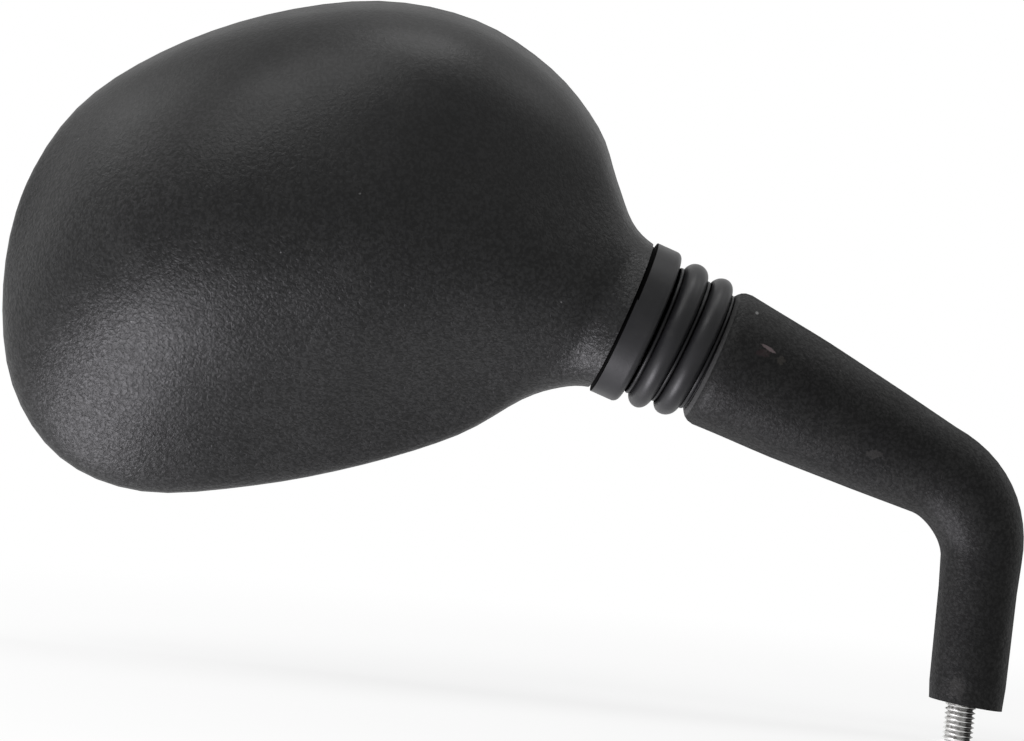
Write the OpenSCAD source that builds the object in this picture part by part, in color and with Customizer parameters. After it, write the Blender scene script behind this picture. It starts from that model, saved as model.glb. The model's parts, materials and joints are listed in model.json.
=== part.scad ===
/* [Housing outline] */
// Radius of the housing's round neck where it ends, mm
neck_r = 20.3; // [18:0.1:22]
// How far the neck's end lies from the ball's centre, mm
neck_end = 10.3; // [9:0.1:16]
// Top edge of the housing in its own frame, x towards the arm, neck to tip
top_edge = [
    [3.3, 23.5], [-4.6, 32], [-14.5, 42.9], [-32, 51.9], [-55, 55.2],
    [-80, 49.4], [-105.1, 34.1], [-126.1, 13.9], [-140.1, -8.4]
]; // [-150:0.1:60]
// Bottom edge of the housing, the same way
bottom_edge = [
    [3.9, -23.4], [-3.6, -30.2], [-15, -45.6], [-34.5, -62.9], [-58, -79.3],
    [-84, -92.6], [-107, -93.2], [-126, -81], [-138.7, -58.5]
]; // [-150:0.1:60]
// Where both edges meet at the outer end
tip = [-144, -33.5]; // [-150:0.1:60]
/* [Housing depth] */
// Wall of the moulding, mm
wall = 2.5; // [1.8:0.1:4]
// Height of the flat front over the neck's axis, mm
front_y = 20.2; // [18:0.1:24]
// Where the sides are widest, ahead of the neck's axis, at each section
widest_y = [0, 3, 7, 11, 13, 13, 13, 13, 13, 13, 13]; // [0:0.5:16]
// Depth of the bowl behind that line at each section
bowl_depth = [20.3, 19.5, 21, 24, 32, 37.5, 38, 33, 23, 8, 0]; // [0:0.5:50]
// How far the bowl is fuller towards the top edge, as a share of its depth
bowl_lean = [0, 0.08, 0.25, 0.5, 0.6, 0.55, 0.45, 0.4, 0.26, 0.17, 0.17]; // [0:0.01:0.7]
// Extra depth of the ridge that runs on from the neck and fades into the bowl
ridge_depth = [0, 1, 7, 11.5, 11.5, 11.5, 10.5, 10, 5, 0, 0]; // [0:0.5:20]
// Place of that ridge across the neck's axis
ridge_at = [0, -3, -5, -7, -13, -23, -31, -35, -36, -36, -36]; // [-45:1:0]
// Half width of that ridge
ridge_w = [27, 29, 32, 37, 46, 54, 58, 57, 57, 57, 57]; // [20:1:60]
// Width of the rolled edge at each section
roll_w = [20.3, 17, 12, 9, 7, 6, 6, 6, 6, 6, 6]; // [4:0.5:21]
/* [Glass] */
// Margin from the housing's edge to the opening for the bezel, mm
open_inset = 8; // [6:0.5:14]
// How near the neck the opening reaches, mm
open_x = -11; // [-20:1:-6]
// How far the opening's neck side bows out in the middle, mm
open_bow = 5; // [0:0.5:8]
// Radius of the glass's slight bulge, mm
glass_bulge_r = 1200; // [800:50:2000]
// Thickness of the glass, mm
glass_t = 2; // [1.5:0.1:3]
// Height of the glass's middle over the neck's axis, mm
glass_y = 21.8; // [20:0.1:24]
// Middle of the glass's bulge in the housing's own frame
glass_at = [-78, -19]; // [-150:1:60]
// Thickness of the plate behind the glass, mm
backing_t = 2; // [1:0.5:4]
// Top of the bezel's frame, mm
bezel_top = 22.2; // [21:0.1:25]
// Wall of the bezel's skirt beside the glass, mm
skirt_t = 1.45; // [1:0.05:3]
// Rounding of the bezel's edges, mm
bezel_round = 0.8; // [0.2:0.1:1.5]
// How far the snap bead of the skirt reaches under the housing's front, mm
bead_out = 0.4; // [0.2:0.1:1]
// Width by which the bezel laps over the housing, mm
bezel_lap = 2.4; // [1.5:0.1:4]
// Width by which the bezel laps over the glass, mm
glass_lap = 2; // [1:0.1:4]
/* [Ball joint] */
// Place of the ball's centre, in from the stud's axis, mm
ball_x = -109; // [-130:1:-90]
// Height of the ball's centre over the seat, mm
ball_z = 94.75; // [80:0.25:110]
// Slope of the neck, degrees
neck_tilt = 18; // [10:1:25]
// Radius of the ball, mm
ball_r = 9; // [7:0.5:11]
// Radius of the ball's stem, mm
stem_r = 4.25; // [3.5:0.25:5]
// Radius of the stem's thread, mm
thread_r = 4; // [3:0.5:5]
// Radius of the grease hole at the back of ball and liner, mm
ball_bore = 2; // [1:0.5:3]
// Wall of the liner round the ball, mm
liner_t = 1.95; // [1.5:0.05:3]
// Gap that lets a ball or a slide turn, mm
running_gap = 0.05; // [0.02:0.01:0.1]
// Gap between pieces that are only laid together, mm
seat_gap = 0.05; // [0.02:0.01:0.2]
// Play between the stem and the narrow end of the neck's mouth, mm
mouth_play = 0.65; // [0.3:0.05:2]
// Outer radius of the pressure cup, mm
cup_r = 13; // [12:0.5:15]
// Thickness of the pressure cup behind the ball, mm
cup_floor = 2.6; // [2:0.1:4]
// Distance of the pressure cup's rim behind the ball's middle, mm
cup_front = 2; // [1:0.5:4]
// Radius of the pin behind the pressure cup that carries the disc springs, mm
guide_r = 4.6; // [3.5:0.1:6]
// Wall of the socket round the pressure cup, mm
socket_t = 2.6; // [2:0.1:4]
// Thickness of one disc spring, mm
disc_t = 0.8; // [0.5:0.1:1.2]
// Rise of one disc spring, mm
disc_rise = 0.45; // [0.2:0.05:0.8]
// Number of disc springs
disc_count = 4; // [2:2:8]
// Thickness of the retainer plate, mm
plate_t = 2.5; // [1.5:0.5:4]
// Distance of each screw's axis from the socket's wall, mm
screw_out = 3.9; // [3:0.1:8]
// Shank radius of the two plate screws, mm
screw_r = 1.6; // [1.25:0.05:2]
// Depth to which the screws reach in their bosses, mm
screw_l = 14; // [8:0.5:20]
// Radius of the screw heads, mm
head_r = 3; // [2.5:0.1:4]
// Height of the screw heads, mm
head_h = 2.2; // [1.5:0.1:3]
// Height of the lock nut, mm
nut_h = 4.5; // [3:0.1:6]
// Radius of the lock nut over its corners, mm
nut_r = 7.2; // [6:0.1:9]
// Length of the hexagon by which the ball stud is held, mm
spanner_l = 4; // [3:0.5:6]
// Radius of that hexagon over its corners, mm
spanner_r = 6.2; // [5:0.1:8]
// Depth to which the ball stud is screwed into the arm, mm
stem_in = 20; // [12:1:26]
/* [Bellows] */
// Length of the bellows between neck and arm, mm
bellows_l = 25; // [20:0.2:32]
// Radius of the collar beside the neck, mm
collar_r = 21; // [19:0.1:22]
// Length of that collar, mm
collar_l = 7.1; // [5:0.1:10]
// Dark gap between neck and collar, mm
neck_gap = 1.2; // [0.5:0.1:2.5]
// Height of the two folds over the tube, mm
fold_rise = [4.7, 3.85]; // [2:0.05:6]
// Half width of the valleys between the folds, mm
valley_w = 0.6; // [0.3:0.1:1]
// Height of the low ring in each valley over the tube, mm
ring_rise = [1.9, 1.2, 0.5]; // [0.3:0.1:2.5]
// Distance of the first low ring from the collar, mm
ring_first = 1.4; // [0.8:0.1:2]
// Distance of the last low ring from the arm, mm
ring_last = 0.9; // [0.7:0.1:2]
// Half thickness of a low ring, mm
ring_t = 0.7; // [0.4:0.1:1.2]
// Rounding of the collar's edge beside the folds, mm
collar_round = 1.7; // [0.5:0.1:2.5]
// Outer radius of the tube between the folds, mm
tube_r = 15.5; // [14.5:0.1:17]
// Wall of the rubber, mm
rubber_t = 1.5; // [1:0.1:2.5]
// Radius of the neck's spigot inside the collar, mm
spigot_r = 17; // [15:0.1:18]
// Gap between the spigot's end and the bellows' web, mm
spigot_gap = 0.5; // [0.2:0.1:1]
/* [Arm] */
// How far the arm's upper end stands over the neck's axis, mm
arm_rise = 0.55; // [0:0.05:2]
// Length over which the arm turns from the neck's slope to its own, mm
arm_ease = 12; // [5:1:30]
// Radius of the bend's centre line, mm
bend_r = 23.3; // [18:0.1:30]
// Height of the point where the arm's two straight lines would meet, mm
bend_z = 54.95; // [45:0.1:65]
// How far the arm's lower part stands off the stud's axis, mm
foot_x = 1.14; // [0:0.1:3]
// Slant of the arm's foot, degrees
foot_slant = 5; // [0:0.5:8]
// Arm radius along its length, as distance from the bellows and radius
arm_radii = [
    [0, 16.2], [0.5, 16.9], [1.2, 17.6], [2.2, 18.15], [3.8, 18.4], [8, 18.05], [16, 17.5],
    [24.6, 16.95], [33, 16.1], [50, 14.3], [66.3, 12.4], [74.5, 12.25], [79, 12.05],
    [83.3, 11.7], [91.8, 10.75], [96, 10.35], [100, 10.2], [130, 9.9], [131.2, 9.6]
]; // [0:0.1:135]
// Length of the arm's spigot inside the bellows, mm
arm_spigot_l = 4; // [3:0.5:6]
/* [Mounting stud] */
// Thread radius of the mounting stud, mm
stud_r = 4; // [3:0.5:6]
// Length of thread that shows under the arm, mm
stud_out = 9; // [7:0.5:40]
// Radius of the part of the stud that is held in the arm, mm
stud_grip_r = 4.6; // [4:0.1:6]
// Depth to which the stud sits in the arm, mm
stud_in = 24; // [15:1:30]
// Length of the bare shoulder where the stud widens inside the foot, mm
stud_neck = 0.6; // [0.3:0.1:2]
// Bevel at the stud's tip, mm
stud_point = 0.7; // [0.3:0.1:1.2]
/* [Hidden] */
$fn = 96;
sections = 10;
back_steps = 26;
roll_steps = 7;
arm_steps = 44;
bend_steps = 12;
skin_step = 0.25;
lining_step = 0.35;
lining_from = 1.5;
tip_step = 0.1;
fold_root = 0.8;
fold_slot = 0.3;
loop_from = 4;
loop_lead = 0.6;
loop_step = 0.2;
liner_r = ball_r + running_gap + liner_t;
seat_r = liner_r + running_gap;
mouth_half_angle = 20;
mouth_r = stem_r + mouth_play;
mouth_l = neck_end + collar_l + mouth_play;
cup_back = -seat_r - cup_floor;
disc_h = disc_t + disc_rise;
stack_l = disc_count * disc_h + 2 * seat_gap;
plate_x = cup_back - stack_l;
socket_r = cup_r + socket_t;
screw_off = socket_r + screw_out;
boss_r = screw_r + socket_t;
spigot_end = neck_end + neck_gap + collar_l - rubber_t - spigot_gap;
arm_end = neck_end + bellows_l;
nut_x = arm_end - arm_spigot_l - nut_h;
bellows_bore = tube_r - rubber_t;
free_from = neck_gap + collar_l;
ring_pitch = (bellows_l - free_from - ring_first - ring_last) / 2;
fold_w = ring_pitch / 2 - valley_w;
skirt_y = socket_r + 6 * seat_gap;
glass_in = open_inset + skirt_t + seat_gap;
glass_c = glass_y - glass_bulge_r;
arm_top = in_row(arm_end + seat_gap, arm_rise);
arm_slope = atan((arm_top[1] - bend_z) / (foot_x - arm_top[0]));
bend_turn = 90 - arm_slope;
bend_set = bend_r * tan(bend_turn / 2);
run_1 = norm([foot_x, bend_z] - arm_top) - bend_set;
run_2 = bend_r * bend_turn * PI / 180;
run_3 = bend_z - bend_set;
arm_l = run_1 + run_2 + run_3;
foot_r = lookup(arm_l, arm_radii);
foot_l = 6;

// Point of the neck's own frame, x along its axis and z across, in the whole mirror's frame.
function in_row(x, z) =
    [ball_x + x * cos(neck_tilt) + z * sin(neck_tilt), ball_z - x * sin(neck_tilt) + z * cos(neck_tilt)];

// Smooth curve through a list whose first and last entries only steer the ends.
function along(p, u) =
    let (i = max(0, min(floor(u), len(p) - 4)), f = u - i)
    let (a = p[i], b = p[i + 1], c = p[i + 2], d = p[i + 3])
    let (g = a - 2.5 * b + 2 * c - d / 2, h = 1.5 * (b - c) + (d - a) / 2)
    b + f * (c - a) / 2 + f * f * g + f * f * f * h;

function ended(t) = concat([2 * t[0] - t[1]], t, [2 * t[len(t) - 1] - t[len(t) - 2]]);

function edge_line(edge, other, side) =
    concat([[2 * neck_end - edge[0][0], side * neck_r], [neck_end, side * neck_r]], edge, [tip, other[8]]);

top_line = edge_line(top_edge, bottom_edge, 1);
bottom_line = edge_line(bottom_edge, top_edge, -1);
widest = ended(widest_y);
bowl = ended(bowl_depth);
lean = ended(bowl_lean);
ridge = ended(ridge_depth);
ridge_line = ended(ridge_at);
ridge_half = ended(ridge_w);
roll = ended(roll_w);

// Point of an edge line moved inwards by m; side is 1 for the top edge and -1 for the bottom one.
function inset(line, u, m, side) =
    let (t = along(line, u + 0.02) - along(line, u - 0.02), n = [-t[1], t[0]] / norm(t))
    along(line, u) + side * m * n;

function swell(s) = abs(s) < 1 ? (1 + cos(180 * s)) / 2 : 0;

// Closed section of the housing at u; w is the wall taken off, 0 for the outside.
function section(u, w) =
    let (t = inset(top_line, u, w, 1), b = inset(bottom_line, u, w, -1))
    let (half = (t - b) / 2, mid = (t + b) / 2, h = norm(half))
    let (y0 = along(widest, u), from_tip = mid[0] - tip[0] - w)
    let (lift = 1 - min(1, from_tip / along(roll, u)), full = front_y - w - y0)
    let (rise = full * sqrt(max(0, 1 - lift * lift)))
    let (deep = along(bowl, u), back = max(deep - w, deep / 2), fuller = back * along(lean, u))
    let (extra = along(ridge, u), rw = min(along(roll, u), h))
    concat(
        [for (i = [0:back_steps]) let (a = 180 * i / back_steps, p = mid + half * cos(a))
            let (s = (p[1] - along(ridge_line, u)) / along(ridge_half, u))
            [p[0], y0 - sin(a) * (back + fuller * cos(a) + extra * swell(s)), p[1]]],
        [for (i = [1:roll_steps]) let (a = 90 * i / roll_steps, p = b + half / h * rw * (1 - cos(a)))
            [p[0], y0 + rise * sin(a), p[1]]],
        [for (i = [roll_steps:-1:1]) let (a = 90 * i / roll_steps, p = t - half / h * rw * (1 - cos(a)))
            [p[0], y0 + rise * sin(a), p[1]]]
    );

// Closed skin over a list of rings; the last ring ends in one point when end_point is given.
module skin(rings, end_point) {
    n = len(rings[0]);
    m = len(rings);
    pts = [for (r = rings) each r];
    sides = [for (j = [0:m - 2], i = [0:n - 1]) let (k = (i + 1) % n) each [
        [j * n + i, j * n + k, (j + 1) * n + k],
        [j * n + i, (j + 1) * n + k, (j + 1) * n + i]]];
    first = [[for (i = [n - 1:-1:0]) i]];
    last = end_point == undef
        ? [[for (i = [0:n - 1]) (m - 1) * n + i]]
        : [for (i = [0:n - 1]) [(m - 1) * n + i, (m - 1) * n + (i + 1) % n, m * n]];
    polyhedron(end_point == undef ? pts : concat(pts, [end_point]), concat(first, sides, last), 4);
}

// Loop at a given margin inside the housing's edge, closed by a bow across the neck side.
function front_loop(m) =
    let (x = open_x - (m - open_inset), ends = [loop_from, loop_from + loop_lead])
    let (t = [for (u = ends) inset(top_line, u, m, 1)], b = [for (u = ends) inset(bottom_line, u, m, -1)])
    let (across = b[0][1] - t[0][1], bow_z = [for (k = [0.22, 0.5, 0.78]) t[0][1] + k * across])
    let (bow = [[x - open_bow, bow_z[0]], [x, bow_z[1]], [x - open_bow, bow_z[2]]])
    let (q = [t[1], t[0], bow[0], bow[1], bow[2], b[0], b[1]])
    concat(
        [for (u = [loop_from:loop_step:sections - 0.1]) inset(top_line, u, m, 1)],
        [for (u = [sections:-loop_step:loop_from + 0.1]) inset(bottom_line, u, m, -1)],
        [for (f = [0:0.2:3.9]) along([for (k = [6:-1:0]) q[k]], f)]
    );

module prism(m, y_low, y_high) {
    translate([0, y_high, 0])
        rotate([90, 0, 0])
            linear_extrude(y_high - y_low)
                polygon(front_loop(m));
}

// Frame of one profile all round; each corner of the profile is a margin and a height.
module swept_frame(profile) {
    rings = [for (c = profile) [for (p = front_loop(c[0])) [p[0], c[1], p[1]]]];
    n = len(rings[0]);
    m = len(rings);
    faces = [for (j = [0:m - 1], i = [0:n - 1]) let (k = (i + 1) % n, l = (j + 1) % m) each [
        [j * n + i, j * n + k, l * n + k],
        [j * n + i, l * n + k, l * n + i]]];
    polyhedron([for (r = rings) each r], faces, 4);
}

module head_frame() {
    translate([ball_x, 0, ball_z])
        rotate([0, neck_tilt, 0])
            children();
}

// A round piece whose axis is the neck's axis.
module on_axis(x = 0) {
    translate([x, 0, 0])
        rotate([0, 90, 0])
            children();
}

// Round dished slab with the glass's bulge, its front r_front and its back r_back from the bulge's centre.
module dished(r_front, r_back) {
    translate([glass_at[0], 0, glass_at[1]])
        rotate([-90, 0, 0])
            rotate_extrude()
                intersection() {
                    translate([0, glass_y / 2])
                        square([norm(tip), glass_y]);
                    translate([0, glass_c])
                        difference() {
                            circle(r_front, $fn = 3000);
                            circle(r_back, $fn = 3000);
                        }
                }
}

module housing() {
    outer_u = concat([for (u = [0:skin_step:sections - skin_step]) u], [sections - tip_step]);
    inner_u = concat([for (u = [lining_from:lining_step:sections - skin_step]) u], [sections - tip_step]);
    color("#2b2c2e")
    head_frame()
    difference() {
        union() {
            difference() {
                skin([for (u = outer_u) section(u, 0)], [tip[0], widest_y[10], tip[1]]);
                skin([for (u = inner_u) section(u, wall)], [tip[0] + wall, widest_y[10], tip[1]]);
                prism(open_inset, front_y - 2 * wall, glass_y + wall);
            }
            on_axis(plate_x)
                cylinder(r = socket_r, h = neck_end - wall - plate_x);
            on_axis(neck_end - wall)
                cylinder(r = spigot_r, h = spigot_end - neck_end + wall);
            for (s = [-1, 1])
                translate([0, 0, s * screw_off])
                    on_axis(plate_x)
                        cylinder(r = boss_r, h = -plate_x);
        }
        on_axis(2 * plate_x)
            cylinder(r = cup_r + running_gap, h = -2 * plate_x - running_gap);
        sphere(seat_r);
        on_axis()
            cylinder(r1 = mouth_r, r2 = mouth_r + mouth_l * tan(mouth_half_angle), h = mouth_l);
        for (s = [-1, 1])
            translate([0, 0, s * screw_off])
                on_axis(2 * plate_x)
                    cylinder(r = screw_r + seat_gap, h = screw_l - plate_x);
    }
}

module bezel() {
    out = open_inset - bezel_lap;
    skirt = open_inset + seat_gap;
    lip = open_inset + skirt_t + glass_lap;
    bead = open_inset - bead_out;
    bead_y = front_y - wall - bead_out;
    r = bezel_round;
    color("#1b1c1d")
    head_frame()
    difference() {
        swept_frame([
            [lip, skirt_y], [skirt, skirt_y], [bead, bead_y - 2 * bead_out], [bead, bead_y],
            [skirt, bead_y],
            [skirt, front_y + seat_gap], [out, front_y + seat_gap], [out, bezel_top - r],
            [out + 0.3 * r, bezel_top - 0.3 * r], [out + r, bezel_top], [lip - r, bezel_top],
            [lip, bezel_top - r / 2]
        ]);
        intersection() {
            prism(open_inset + skirt_t, 0, 2 * glass_y);
            dished(glass_bulge_r + seat_gap, glass_bulge_r - glass_t - seat_gap);
        }
    }
}

module mirror_glass() {
    color("#b9c4cc")
    head_frame()
    intersection() {
        prism(glass_in, 0, 2 * glass_y);
        dished(glass_bulge_r, glass_bulge_r - glass_t);
    }
}

module glass_backing() {
    color("#4a4b4d")
    head_frame()
    intersection() {
        prism(glass_in + glass_lap + seat_gap, 0, 2 * glass_y);
        dished(glass_bulge_r - glass_t - seat_gap, glass_bulge_r - glass_t - backing_t);
    }
}

module ball_liner() {
    color("#d8d5c8")
    head_frame()
    difference() {
        sphere(liner_r);
        sphere(ball_r + running_gap);
        on_axis()
            cylinder(r1 = mouth_r, r2 = mouth_r + mouth_l * tan(mouth_half_angle), h = mouth_l);
        on_axis(-liner_t / 10)
            cylinder(r = 2 * liner_r, h = liner_t / 5);
        on_axis(-2 * liner_r)
            cylinder(r = ball_bore, h = liner_r);
    }
}

module pressure_cup() {
    color("#8f9296")
    head_frame()
    on_axis(cup_back)
        rotate_extrude()
            difference() {
                union() {
                    square([cup_r, -cup_back - cup_front]);
                    translate([0, disc_t - stack_l])
                        square([guide_r, stack_l]);
                }
                translate([0, -cup_back])
                    circle(seat_r);
            }
}

module disc_spring() {
    hole = guide_r + disc_rise;
    rim = cup_r - 2;
    rotate_extrude()
        polygon([[hole, 0], [rim, disc_rise], [rim, disc_h], [hole, disc_t]]);
}

module disc_springs() {
    color("#a9a59a")
    head_frame()
    for (i = [0:disc_count - 1])
        on_axis(plate_x + seat_gap + (i + i % 2) * disc_h)
            mirror([0, 0, i % 2])
                disc_spring();
}

module retainer_plate() {
    color("#9a9c9e")
    head_frame()
    difference() {
        on_axis(plate_x - plate_t)
            linear_extrude(plate_t - seat_gap)
                union() {
                    circle(cup_r + socket_t / 2);
                    square([2 * screw_off, 2 * boss_r], center = true);
                    for (s = [-1, 1])
                        translate([s * screw_off, 0])
                            circle(boss_r);
                }
        for (s = [-1, 1])
            translate([0, 0, s * screw_off])
                on_axis(plate_x - 2 * plate_t)
                    cylinder(r = screw_r + 4 * seat_gap, h = 3 * plate_t);
        on_axis(plate_x - 2 * plate_t)
            cylinder(r = guide_r + 4 * seat_gap, h = 3 * plate_t);
    }
}

module plate_screws() {
    color("#c9c9c4")
    head_frame()
    for (s = [-1, 1])
        translate([0, 0, s * screw_off])
            on_axis(plate_x - plate_t - seat_gap)
                difference() {
                    union() {
                        cylinder(r = screw_r, h = plate_t + screw_l - screw_r);
                        translate([0, 0, -head_h])
                            cylinder(r = head_r, h = head_h);
                    }
                    for (a = [0, 90])
                        rotate([0, 0, a])
                            translate([0, 0, -head_h])
                                cube([1.1 * head_r, 0.24 * head_r, 1.1 * head_h], center = true);
                }
}

module ball_stud() {
    color("#c3c6c8")
    head_frame()
    difference() {
        union() {
            sphere(ball_r);
            on_axis(ball_r / 2)
                cylinder(r = stem_r, h = nut_x - spanner_l - ball_r / 2);
            on_axis(nut_x - spanner_l - seat_gap)
                cylinder(r = spanner_r, h = spanner_l, $fn = 6);
            on_axis(nut_x - spanner_l)
                cylinder(r = thread_r, h = spanner_l + nut_h + arm_spigot_l + stem_in);
        }
        on_axis(-2 * ball_r)
            cylinder(r = ball_bore, h = ball_r + ball_bore);
    }
}

module stud_nut() {
    color("#bfc1c0")
    head_frame()
    on_axis(nut_x)
        difference() {
            cylinder(r = nut_r, h = nut_h - seat_gap, $fn = 6);
            translate([0, 0, -nut_h])
                cylinder(r = thread_r + seat_gap, h = 3 * nut_h);
        }
}

// Strip of the bellows' profile between two stations, from its axis out to a radius.
module strip(from, to, out) {
    translate([0, from])
        square([out, to - from]);
}

module bellows() {
    function ring_c(i) = [tube_r + ring_rise[i] - ring_t, free_from + ring_first + i * ring_pitch];
    function fold_c(i) = [tube_r + fold_rise[i] - fold_w, free_from + ring_first + (i + 0.5) * ring_pitch];
    module fold_strip(i, share) {
        strip(fold_c(i)[1] - share * fold_w, fold_c(i)[1] + share * fold_w, fold_c(i)[0]);
    }
    edge_r = collar_r - collar_round;
    collar_bore = spigot_r + seat_gap;
    color("#191a1b")
    head_frame()
    on_axis(neck_end)
        rotate_extrude()
            difference() {
                union() {
                    translate([collar_bore, neck_gap]) {
                        square([collar_r - collar_bore, collar_l - collar_round]);
                        square([edge_r - collar_bore, collar_l]);
                    }
                    translate([edge_r, free_from - collar_round])
                        circle(collar_round);
                    strip(free_from - rubber_t, free_from, edge_r);
                    strip(free_from - rubber_t, bellows_l, tube_r);
                    for (i = [0, 1]) {
                        translate(fold_c(i))
                            circle(fold_w);
                        fold_strip(i, fold_root);
                        strip(ring_c(i)[1], fold_c(i)[1], ring_c(i)[0]);
                        strip(fold_c(i)[1], ring_c(i + 1)[1], ring_c(i + 1)[0]);
                    }
                    for (i = [0:2])
                        translate(ring_c(i))
                            circle(ring_t);
                }
                strip(0, 2 * bellows_l, bellows_bore);
                for (i = [0, 1]) {
                    translate(fold_c(i))
                        circle(fold_w - rubber_t);
                    fold_strip(i, fold_slot);
                }
            }
}

module arm() {
    arc_c = [foot_x - bend_r, bend_z - bend_set];
    // Centre and slope of the arm's axis at a distance s from the bellows.
    function axis_at(s) =
        s < run_1 ? [arm_top[0] + s * cos(arm_slope), arm_top[1] - s * sin(arm_slope), arm_slope]
        : s < run_1 + run_2 ? let (a = 90 - arm_slope - (s - run_1) / bend_r * 180 / PI)
            [arc_c[0] + bend_r * cos(a), arc_c[1] + bend_r * sin(a), 90 - a]
        : [foot_x, arc_c[1] - (s - run_1 - run_2), 90];
    function ring(s) =
        let (p = axis_at(s), r = lookup(s, arm_radii))
        let (q = p[2] - (arm_slope - neck_tilt) * max(0, 1 - s / arm_ease))
        let (foot = max(0, 1 - (arm_l - s) / foot_l))
        [for (i = [0:arm_steps - 1]) let (a = 360 * i / arm_steps, x = r * cos(a))
            [p[0] + x * sin(q), r * sin(a), p[1] + x * cos(q) + foot * (foot_r - x) * tan(foot_slant)]];
    shoulder = [for (i = [0:4]) arm_radii[i][0]];
    stations = concat(
        shoulder,
        [for (i = [1:11]) shoulder[4] + i * (run_1 - shoulder[4]) / 11],
        [for (i = [1:bend_steps]) run_1 + i * run_2 / bend_steps],
        [for (i = [1:3]) run_1 + run_2 + i * (run_3 - foot_l) / 4],
        [arm_l - foot_l, arm_l - foot_l / 10, arm_l]);
    color("#26272a")
    difference() {
        union() {
            skin([for (s = stations) ring(s)]);
            head_frame()
                on_axis(arm_end - arm_spigot_l)
                    cylinder(r = bellows_bore - seat_gap, h = 2 * arm_spigot_l);
        }
        translate([0, 0, -stud_neck])
            cylinder(r = stud_grip_r + seat_gap, h = stud_in + stud_neck + seat_gap);
        head_frame()
            on_axis(nut_x)
                cylinder(r = thread_r + seat_gap, h = nut_h + arm_spigot_l + stem_in + thread_r);
    }
}

module mounting_stud() {
    color("#d0d2d0")
    rotate_extrude()
        polygon([
            [0, -stud_out], [stud_r - stud_point, -stud_out], [stud_r, stud_point - stud_out],
            [stud_r, stud_neck], [stud_grip_r, stud_neck], [stud_grip_r, stud_in - stud_point],
            [stud_grip_r - stud_point, stud_in], [0, stud_in]
        ]);
}

arm();
mounting_stud();
ball_stud();
stud_nut();
bellows();
ball_liner();
housing();
pressure_cup();
disc_springs();
retainer_plate();
plate_screws();
bezel();
mirror_glass();
glass_backing();
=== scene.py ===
import json
import math
import bpy
from mathutils import Matrix, Vector


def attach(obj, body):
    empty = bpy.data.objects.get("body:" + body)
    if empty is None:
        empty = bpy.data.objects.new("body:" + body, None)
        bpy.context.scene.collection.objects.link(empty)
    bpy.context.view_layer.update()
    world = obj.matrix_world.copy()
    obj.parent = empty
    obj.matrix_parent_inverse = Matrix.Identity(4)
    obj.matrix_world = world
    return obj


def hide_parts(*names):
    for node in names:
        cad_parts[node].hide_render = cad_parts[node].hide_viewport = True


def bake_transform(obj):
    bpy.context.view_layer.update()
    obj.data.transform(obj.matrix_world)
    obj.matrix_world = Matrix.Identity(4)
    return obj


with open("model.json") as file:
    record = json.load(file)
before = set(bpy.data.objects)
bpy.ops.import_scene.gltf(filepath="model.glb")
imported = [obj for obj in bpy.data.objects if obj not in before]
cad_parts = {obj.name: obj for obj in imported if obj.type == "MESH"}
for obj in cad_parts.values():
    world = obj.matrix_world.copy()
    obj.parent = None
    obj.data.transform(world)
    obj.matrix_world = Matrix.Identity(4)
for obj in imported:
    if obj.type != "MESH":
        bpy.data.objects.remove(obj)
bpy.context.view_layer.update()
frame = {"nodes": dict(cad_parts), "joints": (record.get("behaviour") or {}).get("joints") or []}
cad = frame["nodes"]
scene = bpy.context.scene
scene.view_settings.view_transform = "Standard"

# the ball's centre, and the way from it along the neck to the arm
turnJoint = next(joint for joint in frame["joints"] if joint["name"] == "turn")
ball = Vector(turnJoint["pos_m"])
neckAxis = -Vector(turnJoint["axis"]).normalized()

floatSocket, vectorSocket = "NodeSocketFloat", "NodeSocketVector"
shapeSocket, finishSocket = "NodeSocketGeometry", "NodeSocketMaterial"


# a node's output that can be reckoned with: each sign used on it adds one Math node
class Reading:
    def __init__(self, socket):
        self.tree, self.socket = socket.id_data, socket

    def __add__(self, other):
        return reckon("ADD", self, other)

    def __sub__(self, other):
        return reckon("SUBTRACT", self, other)

    def __rsub__(self, other):
        return reckon("SUBTRACT", other, self)

    def __mul__(self, other):
        return reckon("MULTIPLY", self, other)

    def __truediv__(self, other):
        return reckon("DIVIDE", self, other)

    def __rtruediv__(self, other):
        return reckon("DIVIDE", other, self)

    def __lt__(self, other):
        return reckon("LESS_THAN", self, other)

    def __gt__(self, other):
        return reckon("GREATER_THAN", self, other)


def feed(socket, value):
    if isinstance(value, Reading):
        value.tree.links.new(value.socket, socket)
    else:
        socket.default_value = value


def addNode(tree, kind, inputs=None, **settings):
    node = tree.nodes.new(kind)
    for name, value in settings.items():
        setattr(node, name, value)
    for key, value in (inputs or {}).items():
        feed(node.inputs[key], value)
    return node


def read(node, key=0):
    return Reading(node.outputs[key])


def reckon(operation, a, b=0.0, clamp=False):
    tree = (a if isinstance(a, Reading) else b).tree
    return read(addNode(tree, "ShaderNodeMath", {0: a, 1: b}, operation=operation, use_clamp=clamp))


def between(value, low, high):
    return reckon("MINIMUM", reckon("MAXIMUM", value, low), high)


def mapRange(value, source, target=(0.0, 1.0), smooth=False):
    inputs = dict(zip(("Value", "From Min", "From Max", "To Min", "To Max"), (value, *source, *target)))
    kind = "SMOOTHSTEP" if smooth else "LINEAR"
    return read(addNode(value.tree, "ShaderNodeMapRange", inputs, interpolation_type=kind), "Result")


def mixColour(factor, a, b):
    a, b = (value if isinstance(value, Reading) else (*value, 1.0) for value in (a, b))
    return read(addNode(factor.tree, "ShaderNodeMix", {0: factor, 6: a, 7: b}, data_type="RGBA"), 2)


def addVector(operation, a, b=(0.0, 0.0, 0.0), output="Vector"):
    return read(addNode(a.tree, "ShaderNodeVectorMath", {0: a, 1: b}, operation=operation), output)


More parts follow.
